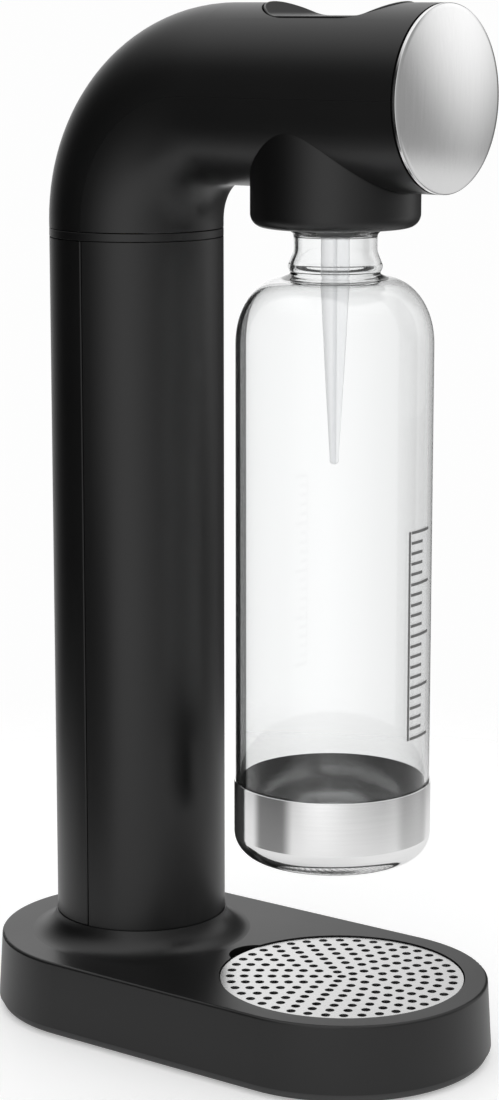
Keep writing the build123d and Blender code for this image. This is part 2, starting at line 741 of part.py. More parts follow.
with BuildPart() as pivot_pins:
    for side in (-1, 1):
        with BuildSketch(Plane.YZ.offset(side * 25.3)):
            with Locations((BOTTLE_Y, TILT_Z)):
                Circle(3.0)
                Circle(1.2, mode=Mode.SUBTRACT)
        extrude(amount=5.0, both=True)

with BuildPart() as bottle_holder:
    revolve(
        profile(
            BOTTLE_Y,
            (19.4, 343.4),
            (22.6, 343.4),
            (22.6, 358.0),
            (18.5, 362.4),
            (9.3, 362.4),
            (9.3, 361.4),
            (17.4, 361.4),
            (17.4, 352.6),
            (19.4, 352.6),
        ),
        axis=BOTTLE_AXIS,
    )
    with BuildSketch(Plane.YZ.offset(-24)):
        with Locations((BOTTLE_Y, TILT_Z)):
            Circle(5.2)
    extrude(amount=48)
    with BuildSketch(Plane.XY.offset(342)):
        with Locations((0, BOTTLE_Y)):
            Circle(19.4)
    extrude(amount=10.6, mode=Mode.SUBTRACT)
    with BuildSketch(Plane.XY.offset(350)):
        with Locations((0, BOTTLE_Y)):
            Circle(17.4)
    extrude(amount=11.4, mode=Mode.SUBTRACT)
    with BuildSketch(Plane.YZ.offset(-30)):
        with Locations((BOTTLE_Y, TILT_Z)):
            Circle(3.05)
    extrude(amount=60, mode=Mode.SUBTRACT)

with BuildPart() as bottle_grip_ring:
    revolve(
        profile(BOTTLE_Y, (16.8, 345.2), (18.9, 344.4), (19.3, 344.4), (19.3, 347.4), (16.8, 347.0)),
        axis=BOTTLE_AXIS,
    )

with BuildPart() as bottle_seal:
    revolve(collar(BOTTLE_Y, 17.2, 9.6, 358.2, 361.3), axis=BOTTLE_AXIS)

with BuildPart() as nozzle_body:
    revolve(
        profile(
            BOTTLE_Y,
            (0, 355.0),
            (9.2, 355.0),
            (9.2, 367.0),
            (7.5, 368.4),
            (1.5, 368.4),
            (1.5, 357.0),
            (0, 357.0),
        ),
        axis=BOTTLE_AXIS,
    )

with BuildPart() as carbonation_tube:
    with BuildSketch(upright(BOTTLE_Y)):
        with BuildLine():
            Line((0.7, 354.8), (8.4, 354.8))
            Line((8.4, 354.8), (8.4, 345.0))
            Line((8.4, 345.0), (5.7, 341.0))
            Line((5.7, 341.0), (5.7, 321.0))
            Line((5.7, 321.0), (4.8, 301.6))
            Line((4.8, 301.6), (3.7, 281.5))
            Line((3.7, 281.5), (2.2, 257.2))
            Line((2.2, 257.2), (1.75, 249.6))
            ThreePointArc((1.75, 249.6), (1.5, 248.1), (0.7, 247.5))
            Line((0.7, 247.5), (0.7, 354.8))
        make_face()
    revolve(axis=BOTTLE_AXIS)

# ================================================================ gas hose
with BuildPart() as hose_fittings:
    with BuildSketch(Plane.XZ.offset(-(COLUMN_Y - 18.2))):
        with Locations((0, PORT_Z)):
            Circle(4.2)
    extrude(amount=2.4)
    with BuildSketch(Plane.XY.offset(362.0)):
        with Locations(GAS_SPOT):
            Circle(3.0)
    extrude(amount=2.4)

HOSE_POINTS = [
    (0, COLUMN_Y - 20.7, PORT_Z),
    (0, 18.0, PORT_Z),
    (12.0, -4.0, 373.0),
    (GAS_SPOT[0], GAS_SPOT[1], 377.0),
    (GAS_SPOT[0], GAS_SPOT[1], 364.5),
]
with BuildPart() as gas_hose:
    with BuildLine() as hose_route:
        FilletPolyline(*HOSE_POINTS, radius=5.0)
    with BuildSketch(Plane(origin=hose_route.line @ 0, z_dir=hose_route.line % 0)):
        Circle(3.0)
    sweep(path=hose_route.line)

with BuildPart() as relief_valve:
    with BuildSketch(Plane.XY.offset(362.0)):
        with Locations((-GAS_SPOT[0], GAS_SPOT[1])):
            Circle(3.4)
    extrude(amount=9.0)
    with BuildSketch(Plane.XY.offset(371.0)):
        with Locations((-GAS_SPOT[0], GAS_SPOT[1])):
            Circle(2.2)
    extrude(amount=3.0)

# ================================================================ bottle
with BuildPart() as bottle_body:
    outer = [
        (14.6, 357.9),
        (14.6, 351.8),
        (15.6, 351.0),
        (15.6, 348.6),
        (14.8, 347.4),
        (14.8, 343.4),
        (18.2, 342.4),
        (18.2, 341.0),
        (16.7, 339.6),
        (16.7, 331.4),
        (18.2, 328.0),
        (19.1, 326.4),
        (18.2, 324.2),
        (17.9, 323.2),
        (18.4, 322.6),
    ]
    with BuildSketch(upright(BOTTLE_Y)):
        with BuildLine():
            Polyline(*outer)
            Spline(
                (18.4, 322.6), (26.5, 320.3), (32.6, 316.0), (37.0, 310.0), (39.0, 304.0), (BOTTLE_R, 295.9),
                tangents=((1, 0), (0, -1)),
            )
            Line((BOTTLE_R, 295.9), (BOTTLE_R, 96.0))
            ThreePointArc((BOTTLE_R, 96.0), (36.8, 89.0), (30.0, 86.2))
            Line((30.0, 86.2), (22.0, 86.2))
            Line((22.0, 86.2), (12.0, 90.0))
            Line((12.0, 90.0), (0, 90.8))
            Line((0, 90.8), (0, 92.8))
            Line((0, 92.8), (12.5, 92.0))
            Line((12.5, 92.0), (22.4, 88.2))
            Line((22.4, 88.2), (29.6, 88.2))
            ThreePointArc((29.6, 88.2), (35.4, 90.6), (BOTTLE_R - BOTTLE_WALL, 96.4))
            Line((BOTTLE_R - BOTTLE_WALL, 96.4), (BOTTLE_R - BOTTLE_WALL, 295.9))
            Spline(
                (BOTTLE_R - BOTTLE_WALL, 295.9), (37.25, 303.5), (35.4, 309.2), (31.3, 314.7), (25.9, 318.2),
                (19.2, 319.8),
                tangents=((0, 1), (-1, 0)),
            )
            ThreePointArc((19.2, 319.8), (17.1, 320.5), (16.2, 322.4))
            Polyline(
                (16.2, 322.4),
                (16.7, 326.4),
                (14.9, 331.0),
                (14.9, 341.6),
                (12.4, 345.2),
                (12.4, 357.9),
                (14.6, 357.9),
            )
        make_face()
    revolve(axis=BOTTLE_AXIS)

with BuildPart() as bottle_base_sleeve:
    with BuildSketch(upright(BOTTLE_Y)):
        with BuildLine():
            Line((BOTTLE_R + 0.05, SLEEVE_TOP_Z), (SLEEVE_R, SLEEVE_TOP_Z))
            Line((SLEEVE_R, SLEEVE_TOP_Z), (SLEEVE_R, 95.0))
            ThreePointArc((SLEEVE_R, 95.0), (37.2, 87.8), (29.9, BOTTLE_BOTTOM_Z))
            Line((29.9, BOTTLE_BOTTOM_Z), (23.0, BOTTLE_BOTTOM_Z))
            Line((23.0, BOTTLE_BOTTOM_Z), (20.0, 86.0))
            Line((20.0, 86.0), (0, 86.0))
            Line((0, 86.0), (0, 86.6))
            Line((0, 86.6), (20.2, 86.6))
            Line((20.2, 86.6), (23.2, 85.3))
            Line((23.2, 85.3), (29.8, 85.3))
            ThreePointArc((29.8, 85.3), (36.9, 88.4), (BOTTLE_R + 0.05, 95.2))
            Line((BOTTLE_R + 0.05, 95.2), (BOTTLE_R + 0.05, SLEEVE_TOP_Z))
        make_face()
    revolve(axis=BOTTLE_AXIS)

# ================================================================ export
PIECES = {
    "base_housing": base_housing,
    "base_plate": base_plate,
    "base_feet": base_feet,
    "base_screws": base_screws,
    "drip_tray": drip_tray,
    "drip_grille": drip_grille,
    "column_front_shell": column_front_shell,
    "rear_cover": rear_cover,
    "column_ring": column_ring,
    "spine_frame": spine_frame,
    "cylinder_seat": cylinder_seat,
    "seat_spring": seat_spring,
    "gas_cylinder": gas_cylinder,
    "cylinder_valve": cylinder_valve,
    "cylinder_valve_pin": cylinder_valve_pin,
    "valve_receiver": valve_receiver,
    "receiver_seal": receiver_seal,
    "valve_plunger": valve_plunger,
    "plunger_spring": plunger_spring,
    "valve_bracket": valve_bracket,
    "bracket_screws": bracket_screws,
    "lever_pin": lever_pin,
    "actuator_lever": actuator_lever,
    "head_upper_shell": head_upper_shell,
    "head_lower_shell": head_lower_shell,
    "head_screws": head_screws,
    "carbonation_button": carbonation_button,
    "button_carrier": button_carrier,
    "button_springs": button_springs,
    "disc_carrier": disc_carrier,
    "front_disc": front_disc,
    "holder_frame": holder_frame,
    "pivot_pins": pivot_pins,
    "bottle_holder": bottle_holder,
    "bottle_grip_ring": bottle_grip_ring,
    "bottle_seal": bottle_seal,
    "nozzle_body": nozzle_body,
    "carbonation_tube": carbonation_tube,
    "hose_fittings": hose_fittings,
    "gas_hose": gas_hose,
    "relief_valve": relief_valve,
    "bottle_body": bottle_body,
    "bottle_base_sleeve": bottle_base_sleeve,
}
for label, piece in PIECES.items():
    piece.part.label = label
    export_step(piece.part, f"parts/{label}.step")
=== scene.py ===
import json
import math

import bmesh
import bpy
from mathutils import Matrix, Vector
from mathutils.geometry import interpolate_bezier


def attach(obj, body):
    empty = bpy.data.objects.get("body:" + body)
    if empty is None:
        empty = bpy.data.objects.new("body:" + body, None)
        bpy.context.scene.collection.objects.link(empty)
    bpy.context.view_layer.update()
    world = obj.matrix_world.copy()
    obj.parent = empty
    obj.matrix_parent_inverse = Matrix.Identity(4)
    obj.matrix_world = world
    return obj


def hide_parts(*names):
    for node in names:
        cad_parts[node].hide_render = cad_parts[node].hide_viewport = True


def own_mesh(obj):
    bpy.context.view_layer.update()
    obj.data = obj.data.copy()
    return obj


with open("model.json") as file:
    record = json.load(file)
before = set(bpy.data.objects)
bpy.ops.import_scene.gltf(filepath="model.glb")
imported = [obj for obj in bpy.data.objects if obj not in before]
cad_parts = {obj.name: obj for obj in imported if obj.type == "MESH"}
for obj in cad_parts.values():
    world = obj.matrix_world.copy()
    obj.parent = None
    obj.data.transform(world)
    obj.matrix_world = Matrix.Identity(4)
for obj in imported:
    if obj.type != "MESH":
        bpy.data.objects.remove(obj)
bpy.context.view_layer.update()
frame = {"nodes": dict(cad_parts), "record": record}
MM = 0.001
# the bottle's axis and radius, and the height of the arm's axis
BOTTLE_Y = -48.1 * MM
BOTTLE_R = 39.7 * MM
ARM_Z = 393.6 * MM


# ---------------------------------------------------------------- node helpers
# sockets of the colour mix: first colour, second colour, result
MIX_FIRST, MIX_SECOND, MIX_RESULT = 6, 7, 2


def new_material(name):
    """An empty material with its Principled shader and output."""
    material = bpy.data.materials.new(name)
    material.use_nodes = True
    nodes = material.node_tree.nodes
    nodes.clear()
    shader = nodes.new("ShaderNodeBsdfPrincipled")
    output = nodes.new("ShaderNodeOutputMaterial")
    material.node_tree.links.new(shader.outputs["BSDF"], output.inputs["Surface"])
    return material, shader


def add_node(owner, kind, inputs=(), **settings):
    """A node of a material or the world, with its settings and its inputs set or linked."""
    node = owner.node_tree.nodes.new(kind)
    for key, value in settings.items():
        setattr(node, key, value)
    for key, value in dict(inputs).items():
        connect(owner, value, node.inputs[key])
    return node


def connect(owner, value, socket):
    """Sets a socket from a plain value or links it from another socket."""
    if isinstance(value, bpy.types.NodeSocket):
        owner.node_tree.links.new(value, socket)
    else:
        socket.default_value = value


def stretched_noise(owner, scale, stretch=(1, 1, 1), detail=3.0, rough=0.5):
    """Noise in the object's own coordinates, in repeats a metre, stretched along an axis."""
    place = add_node(owner, "ShaderNodeTexCoord").outputs["Object"]
    mapping = add_node(owner, "ShaderNodeMapping", {"Vector": place, "Scale": stretch})
    noise = add_node(
        owner,
        "ShaderNodeTexNoise",
        {"Vector": mapping.outputs["Vector"], "Scale": scale, "Detail": detail, "Roughness": rough},
    )
    return noise.outputs["Fac"]


def remap(owner, value, low, high):
    """A 0 to 1 value brought to the range low to high."""
    node = add_node(owner, "ShaderNodeMapRange", {"Value": value, "To Min": low, "To Max": high})
    return node.outputs["Result"]


def mix_colour(owner, factor, first, second):
    """One colour turning to the other as the factor goes from 0 to 1."""
    node = add_node(owner, "ShaderNodeMix", data_type="RGBA")
    connect(owner, factor, node.inputs["Factor"])
    connect(owner, first, node.inputs[MIX_FIRST])
    connect(owner, second, node.inputs[MIX_SECOND])
    return node.outputs[MIX_RESULT]


def edge_wear(owner, radius, amount):
    """Near 1 where two faces meet at an edge, 0 on the open faces, broken up by noise."""
    bevel = add_node(owner, "ShaderNodeBevel", {"Radius": radius}, samples=4)
    normal = add_node(owner, "ShaderNodeNewGeometry").outputs["Normal"]
    dot = add_node(owner, "ShaderNodeVectorMath", operation="DOT_PRODUCT")
    connect(owner, bevel.outputs["Normal"], dot.inputs[0])
    connect(owner, normal, dot.inputs[1])
    edge = add_node(
        owner, "ShaderNodeMapRange", {"Value": dot.outputs["Value"], "From Min": 0.995, "From Max": 0.9}
    )
    broken = stretched_noise(owner, 300.0)
    node = add_node(owner, "ShaderNodeMath", operation="MULTIPLY")
    connect(owner, edge.outputs["Result"], node.inputs[0])
    connect(owner, remap(owner, broken, 0.0, amount), node.inputs[1])
    return node.outputs["Value"]


def soft_step(owner, value, low, high):
    """0 where the value is at low, 1 where it is at high, with an even S between them."""
    node = add_node(
        owner,
        "ShaderNodeMapRange",
        {"Value": value, "From Min": low, "From Max": high},
        interpolation_type="SMOOTHSTEP",
    )
    return node.outputs["Result"]


def add_bump(owner, shader, height, strength, distance):
    """Bumps the shader's normal by a height."""
    settings = {"Height": height, "Strength": strength, "Distance": distance}
    bump = add_node(owner, "ShaderNodeBump", settings)
    connect(owner, bump.outputs["Normal"], shader.inputs["Normal"])


def grey(value):
    """A neutral colour."""
    return (value, value, value, 1.0)


# ---------------------------------------------------------------- materials
# how far rubbed edges and the painted shade in the seams reach, and how bright and how rubbed the black
# mouldings are
WEAR_REACH = 0.6 * MM
SEAM_SHADE_REACH = 1.2 * MM
WEAR = 0.5
SHEEN = 0.5
# heights of the fine surface relief
GRAIN = 0.03 * MM
BRUSH = 0.02 * MM
FLOW = 0.2 * MM
RUBBER_SKIN = 0.04 * MM
INK_SKIN = 0.01 * MM


def moulded_plastic(name, tone, rough, grain=1400.0):
    """Satin black moulding: faint mottling, fine grain, lighter rubbed edges and painted shade that dulls
    its reflection in the seams.
    """
    material, shader = new_material(name)
    mottle = stretched_noise(material, 28.0, detail=5.0)
    dark = (tone * 0.9, tone * 0.9, tone * 0.92, 1.0)
    light = (tone * 1.12, tone * 1.12, tone * 1.13, 1.0)
    colour = mix_colour(material, mottle, dark, light)
    worn = edge_wear(material, WEAR_REACH, WEAR)
    colour = mix_colour(material, worn, colour, grey(tone * 3.0))
    connect(material, colour, shader.inputs["Base Color"])
    cloud = stretched_noise(material, 14.0, detail=6.0, rough=0.6)
    connect(material, remap(material, cloud, rough - 0.03, rough + 0.04), shader.inputs["Roughness"])
    # painted shade: the reflection is turned down in seams and crevices, where shade falls
    seam_shade_ao = add_node(material, "ShaderNodeAmbientOcclusion", {"Distance": SEAM_SHADE_REACH}, samples=8)
    unshaded_face = soft_step(material, seam_shade_ao.outputs["AO"], 0.45, 0.95)
    seam_shaded_sheen = remap(material, unshaded_face, SHEEN * 0.1, SHEEN)
    connect(material, seam_shaded_sheen, shader.inputs["Specular IOR Level"])
    fine = stretched_noise(material, grain, detail=2.0)
    add_bump(material, shader, fine, 0.12, GRAIN)
    return material


def brushed_metal(name, tone, rough, stretch, scale=900.0, strength=0.25, tint=(1, 1, 1)):
    """Metal with fine brush lines along the axis that the stretch leaves long."""
    material, shader = new_material(name)
    shader.inputs["Metallic"].default_value = 1.0
    lines = stretched_noise(material, scale, stretch, detail=4.0, rough=0.65)
    haze = stretched_noise(material, 18.0, detail=4.0)
    dark = tuple(tone * 0.9 * t for t in tint) + (1.0,)
    light = tuple(min(1.0, tone * 1.06 * t) for t in tint) + (1.0,)
    plain = tuple(tone * t for t in tint) + (1.0,)
    colour = mix_colour(material, lines, dark, light)
    colour = mix_colour(material, remap(material, haze, 0.0, 0.25), colour, plain)
    connect(material, colour, shader.inputs["Base Color"])
    connect(material, remap(material, lines, rough * 0.8, rough * 1.25), shader.inputs["Roughness"])
    add_bump(material, shader, lines, strength, BRUSH)
    return material


def clear_bottle_plastic(name):
    """Clear bottle wall with a trace of flow marks."""
    material, shader = new_material(name)
    shader.inputs["Base Color"].default_value = (0.985, 0.99, 0.99, 1.0)
    shader.inputs["Transmission Weight"].default_value = 1.0
    shader.inputs["IOR"].default_value = 1.5
    haze = stretched_noise(material, 12.0, detail=3.0)
    connect(material, remap(material, haze, 0.0, 0.02), shader.inputs["Roughness"])
    flow = stretched_noise(material, 20.0, (1, 1, 0.3), detail=2.0)
    add_bump(material, shader, flow, 0.01, FLOW)
    return material


def frosted_plastic(name):
    """Milky translucent moulding of the carbonation tube."""
    material, shader = new_material(name)
    shade = stretched_noise(material, 60.0, (1, 1, 0.2), detail=3.0)
    colour = mix_colour(material, shade, (0.93, 0.94, 0.95, 1.0), (0.98, 0.98, 0.985, 1.0))
    connect(material, colour, shader.inputs["Base Color"])
    shader.inputs["Transmission Weight"].default_value = 0.92
    shader.inputs["IOR"].default_value = 1.06
    connect(material, remap(material, shade, 0.32, 0.4), shader.inputs["Roughness"])
    add_bump(material, shader, stretched_noise(material, 900.0), 0.15, GRAIN)
    return material


def soft_rubber(name, tone, rough):
    """Matt rubber with a fine, uneven skin."""
    material, shader = new_material(name)
    mottle = stretched_noise(material, 90.0, detail=4.0)
    colour = mix_colour(material, mottle, grey(tone * 0.85), grey(tone * 1.2))
    connect(material, colour, shader.inputs["Base Color"])
    connect(material, remap(material, mottle, rough - 0.05, rough + 0.05), shader.inputs["Roughness"])
    add_bump(material, shader, stretched_noise(material, 1800.0), 0.3, RUBBER_SKIN)
    return material


MATERIALS = {
    "shell_black": moulded_plastic("satin_black_shell", 0.0055, 0.34),
    "base_black": moulded_plastic("satin_black_base", 0.006, 0.36),
    "inner_plastic": moulded_plastic("inner_plastic", 0.05, 0.5, grain=900.0),
    "grille_steel": brushed_metal("grille_steel", 0.74, 0.26, (1, 0.03, 1), scale=1500.0),
    "disc_steel": brushed_metal("disc_steel", 0.8, 0.13, (1, 1, 0.02), scale=2200.0, strength=0.12),
    "sleeve_steel": brushed_metal("sleeve_steel", 0.93, 0.1, (0.02, 0.02, 1), scale=1200.0, strength=0.025),
    "frame_steel": brushed_metal("frame_steel", 0.5, 0.35, (1, 1, 0.1)),
    "cylinder_paint": brushed_metal("cylinder_aluminium", 0.6, 0.38, (1, 1, 0.05)),
    "valve_brass": brushed_metal("valve_brass", 0.8, 0.25, (0.05, 0.05, 1), tint=(0.95, 0.76, 0.42)),
    "soft_rubber": soft_rubber("black_rubber", 0.03, 0.7),
    "seal_silicone": soft_rubber("pale_silicone", 0.6, 0.5),
    "clear_plastic": clear_bottle_plastic("clear_bottle"),
    "frosted_plastic": frosted_plastic("frosted_tube"),
}

for part in frame["record"]["subparts"]:
    node = frame["nodes"][part["node"]]
    node.data.materials.clear()
    node.data.materials.append(MATERIALS[part["material_slot"]])


# ---------------------------------------------------------------- turned pieces
LATHE_STEPS = 192
BEND_POINTS = 28
CORNER_POINTS = 6
SHARP_ANGLE = 32


def rounded(points, radius):
    """Open outline with every inner corner rounded by up to the given cut."""
    points = [Vector((r, z, 0)) for r, z in points]
    path = [points[0]]
    for before, corner, after in zip(points, points[1:], points[2:]):
        back = (before - corner).normalized() * min(radius, 0.45 * (before - corner).length)
        on = (after - corner).normalized() * min(radius, 0.45 * (after - corner).length)
        knots = (corner + back, corner + back * 0.4, corner + on * 0.4, corner + on)
        path += interpolate_bezier(*knots, CORNER_POINTS)
    path.append(points[-1])
    return [(point.x, point.y) for point in path]


def sweep_bend(start, lead, arrive, end):
    """One smooth bend of an outline."""
    knots = [Vector((r, z, 0)) for r, z in (start, lead, arrive, end)]
    return [(point.x, point.y) for point in interpolate_bezier(*knots, BEND_POINTS)]


def lathe(name, outline, place, slot, body):
    """Turned piece from a closed outline of (radius, height) in mm, put in place by a function."""
    mesh = bpy.data.meshes.new(name)
    shape = bmesh.new()
    rings = []
    for radius, height in outline:
        count = 1 if radius < 0.001 else LATHE_STEPS
        angles = [math.tau * i / LATHE_STEPS for i in range(count)]
        ring = [(radius * MM * math.cos(a), radius * MM * math.sin(a), height * MM) for a in angles]
        rings.append([shape.verts.new(place(*point)) for point in ring])
    for first, second in zip(rings, rings[1:] + rings[:1]):
        if len(first) == len(second) == 1:
            continue
        for i in range(LATHE_STEPS):
            j = (i + 1) % LATHE_STEPS
            corners = [first[i % len(first)], first[j % len(first)]]
            corners += [second[j % len(second)], second[i % len(second)]]
            shape.faces.new(list(dict.fromkeys(corners)))
    bmesh.ops.recalc_face_normals(shape, faces=shape.faces)
    for face in shape.faces:
        face.smooth = True
    shape.to_mesh(mesh)
    shape.free()
    mesh.set_sharp_from_angle(angle=math.radians(SHARP_ANGLE))
    mesh.materials.append(MATERIALS[slot])
    piece = bpy.data.objects.new(name, mesh)
    bpy.context.scene.collection.objects.link(piece)
    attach(piece, body)
    return piece


# outlines of the bottle as (radius, height) in mm
NECK_OUTSIDE = [
    (14.6, 357.9), (14.6, 351.8), (15.6, 351.0), (15.6, 348.6), (14.8, 347.4), (14.8, 343.4), (18.2, 342.4),
    (18.2, 341.2), (16.7, 339.8), (16.7, 333.0), (19.2, 326.8), (17.5, 324.2), (20.6, 323.0),
]
FOOT_OUTSIDE = [(30.0, 86.2), (22.0, 86.2), (12.0, 90.0), (0.0, 90.8)]
FOOT_INSIDE = [(0.0, 92.8), (12.5, 92.0), (22.4, 88.2), (29.6, 88.2)]
NECK_INSIDE = [
    (19.8, 321.2), (16.2, 322.2), (15.7, 324.4), (17.2, 327.0), (14.9, 333.0), (14.9, 341.6), (12.4, 345.2),
    (12.4, 357.9),
]


def bottle_outline():
    """Outline of the bottle's wall, down the outside and up the inside."""
    outline = rounded(NECK_OUTSIDE, 1.3)
    outline += sweep_bend((20.6, 323.0), (31.0, 322.0), (39.7, 311.5), (39.7, 295.9))[1:]
    outline += sweep_bend((39.7, 96.0), (39.7, 90.2), (35.6, 86.2), (30.0, 86.2))
    outline += rounded(FOOT_OUTSIDE, 3.0)[1:]
    outline += rounded(FOOT_INSIDE, 3.0)
    outline += sweep_bend((29.6, 88.2), (34.4, 88.2), (37.9, 91.6), (37.9, 96.4))[1:]
    outline += sweep_bend((37.9, 295.9), (37.9, 310.4), (30.4, 320.4), (19.8, 321.2))
    return outline + rounded(NECK_INSIDE, 1.4)[1:]


# the steel disc in mm: radius of its face, how far its back and its rim stand ahead of the origin, its dome
DISC_R = 36.0
DISC_BACK = 99.0
DISC_FACE = 100.6
DISC_DOME = 2.2
DISC_RINGS = 24


def disc_outline():
    """Outline of the steel disc: flat back, eased rim and slightly domed face."""
    sphere = (DISC_R**2 + DISC_DOME**2) / (2 * DISC_DOME)
    outline = [(0.0, DISC_BACK), (DISC_R, DISC_BACK), (36.35, 99.35), (36.35, 100.3), (36.2, 100.5)]
    for i in range(DISC_RINGS + 1):
        radius = DISC_R * (1 - i / DISC_RINGS)
        outline.append((radius, DISC_FACE + math.sqrt(sphere**2 - radius**2) - (sphere - DISC_DOME)))
    return outline


bottle = lathe(
    "clear_bottle_wall",
    bottle_outline(),
    lambda across, deep, height: (across, BOTTLE_Y + deep, height),
    "clear_plastic",
    "bottle",
)
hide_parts("bottle_body")
disc = lathe(
    "domed_disc",
    disc_outline(),
    lambda across, up, out: (across, -out, ARM_Z + up),
    "disc_steel",
    "machine",
)
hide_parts("front_disc")


# ---------------------------------------------------------------- springs
def make_spring(name):
    """Coil in place of one CAD node, carried by the machine."""
    node = frame["nodes"][name]
    spring = bpy.data.objects.new(f"{name}_coil", node.data.copy())
    bpy.context.scene.collection.objects.link(spring)
    spring.matrix_world = node.matrix_world
    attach(spring, "machine")
    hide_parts(name)
    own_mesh(spring)


make_spring("button_springs")
make_spring("plunger_spring")
make_spring("seat_spring")


# ---------------------------------------------------------------- scale on the bottle
SCALE_LOW = 140 * MM
SCALE_STEP = 4.2 * MM
SCALE_MARKS = 21
MARK_HALF = 0.6 * MM
# angles in degrees from the bottle's front: ends of the upright line, start of the marks and their ends
LINE_START, LINE_END = -6.4, -4.6
MARK_START, MARK_END, LONG_MARK_END = -4.0, 8.0, 17.0
# the print's underside and outer face above the bottle's wall
PRINT_FACES = (0.01 * MM, 0.06 * MM)


def printed_ink(name, tone):
    """Satin printing ink with slightly uneven cover."""
    material, shader = new_material(name)
    cover = stretched_noise(material, 700.0, detail=4.0)
    colour = mix_colour(material, cover, grey(tone * 0.85), grey(tone * 1.25))
    connect(material, colour, shader.inputs["Base Color"])
    connect(material, remap(material, cover, 0.42, 0.55), shader.inputs["Roughness"])
    add_bump(material, shader, stretched_noise(material, 2500.0), 0.2, INK_SKIN)
    return material


def print_patch(verts, faces, start, stop, low, high):
    """Adds a thin curved slab that hugs the bottle from one angle to another, in degrees from the front."""
    steps = max(1, round((stop - start) / 2))
    first = len(verts)
    for i in range(steps + 1):
        angle = math.radians(-90 + start + (stop - start) * i / steps)
        for radius in [BOTTLE_R + above for above in PRINT_FACES]:
            for z in (low, high):
                verts.append((radius * math.cos(angle), BOTTLE_Y + radius * math.sin(angle), z))
    for i in range(steps):
        a = first + 4 * i
        b = a + 4
        faces += [(a, a + 1, b + 1, b), (a + 2, b + 2, b + 3, a + 3)]
        faces += [(a + 1, a + 3, b + 3, b + 1), (a, b, b + 2, a + 2)]
    end = first + 4 * steps
    faces += [(first, first + 2, first + 3, first + 1), (end, end + 1, end + 3, end + 2)]


def make_scale():
    """Plain graduated scale up the bottle, with a longer mark at every fifth step."""
    verts, faces = [], []
    for i in range(SCALE_MARKS):
        z = SCALE_LOW + i * SCALE_STEP
        reach = LONG_MARK_END if i % 5 == 0 else MARK_END
        print_patch(verts, faces, MARK_START, reach, z - MARK_HALF, z + MARK_HALF)
    top = SCALE_LOW + (SCALE_MARKS - 1) * SCALE_STEP
    print_patch(verts, faces, LINE_START, LINE_END, SCALE_LOW - MARK_HALF, top + MARK_HALF)
    mesh = bpy.data.meshes.new("bottle_scale")
    mesh.from_pydata(verts, [], faces)
    mesh.materials.append(printed_ink("scale_ink", 0.17))
    scale = bpy.data.objects.new("bottle_scale", mesh)
    bpy.context.scene.collection.objects.link(scale)
    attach(scale, "bottle")


make_scale()


# ---------------------------------------------------------------- camera
CAMERA_PLACE = Vector((-0.9245, -0.6989, 0.4308))
CAMERA_AIM = Vector((0.7855, 0.5891, -0.1899))
camera_data = bpy.data.cameras.new("camera")
camera_data.lens = 93.05
camera_data.sensor_width = 36.0
camera = bpy.data.objects.new("camera", camera_data)
camera.location = CAMERA_PLACE
camera.rotation_mode = "QUATERNION"
camera.rotation_quaternion = CAMERA_AIM.to_track_quat("-Z", "Y")
bpy.context.scene.collection.objects.link(camera)
bpy.context.scene.camera = camera


# ---------------------------------------------------------------- studio
FLOOR_R = 0.62
FLOOR_SIDES = 96
# distances from the middle where the floor starts to fade and where it has gone
FLOOR_FADE = (0.3, 0.6)


def make_floor():
    """Round pale table top whose rim melts into the white surroundings."""
    mesh = bpy.data.meshes.new("floor")
    angles = [math.tau * i / FLOOR_SIDES for i in range(FLOOR_SIDES)]
    rim = [(FLOOR_R * math.cos(a), FLOOR_R * math.sin(a), 0) for a in angles]
    mesh.from_pydata(rim, [], [tuple(range(FLOOR_SIDES))])
    floor = bpy.data.objects.new("floor", mesh)
    bpy.context.scene.collection.objects.link(floor)
    material, shader = new_material("pale_floor")
    shader.inputs["Base Color"].default_value = grey(0.8)
    shader.inputs["Roughness"].default_value = 0.7
    shader.inputs["Specular IOR Level"].default_value = 0.2
    shader.inputs["Emission Color"].default_value = grey(1.0)
    seen = add_node(material, "ShaderNodeLightPath").outputs["Is Camera Ray"]
    connect(material, remap(material, seen, 0.14, 0.36), shader.inputs["Emission Strength"])
    place = add_node(material, "ShaderNodeTexCoord").outputs["Object"]
    distance = add_node(material, "ShaderNodeVectorMath", {0: place}, operation="LENGTH").outputs["Value"]
    start, end = FLOOR_FADE
    connect(material, soft_step(material, distance, end, start), shader.inputs["Alpha"])
    mesh.materials.append(material)


# strength of the horizon all round, in degrees to the right of the camera as the object sees it
HORIZON = [
    (-180, 1.12), (-168, 1.1), (-150, 0.5), (-134, 0.12), (-118, 0.0), (-78, 0.0), (-66, 0.1), (-54, 0.3),
    (-42, 0.6), (-31, 0.95), (-15, 1.1), (0, 0.95), (12, 0.75), (23, 0.6), (34, 0.52), (45, 0.42),
    (60, 0.34), (75, 0.4), (94, 0.32), (104, 0.36), (117, 0.46), (126, 0.32), (142, 0.1), (170, 0.06),
    (176, 0.9), (180, 1.12),
]
# strength straight overhead, and how high the horizon's light starts to turn to it
TOP = 1.35
TOP_FROM = 0.42
# what the eye sees around the object, and how much of it is mixed into what shows through clear pieces
SEEN_WHITE = 0.985
SEEN_THROUGH = 0.7
# soft boxes that stand on their own: bearing, elevation, angular radius in degrees, strength
SOFT_BOXES = [(116, 15, 24, 0.85)]
# cards: bearing, then distance, half width, bottom and top in metres, brightness, cover at the middle
CARDS = [
    (-74, 0.30, 0.17, 0.0, 0.2, 0.0, 0.72),
    (106, 0.30, 0.21, 0.0, 0.2, 0.0, 0.3),
    (102, 0.39, 0.2, 0.22, 0.335, 0.95, 0.75),
]
# the cards fade out over this height below their top, and outwards from this share of their half width
CARD_FADE = 0.035
CARD_CORE = 0.45


def bearing_axes():
    """Level directions towards the camera and to the camera's right."""
    back = Vector((-CAMERA_AIM.x, -CAMERA_AIM.y, 0)).normalized()
    return back, Vector((-back.y, back.x, 0))


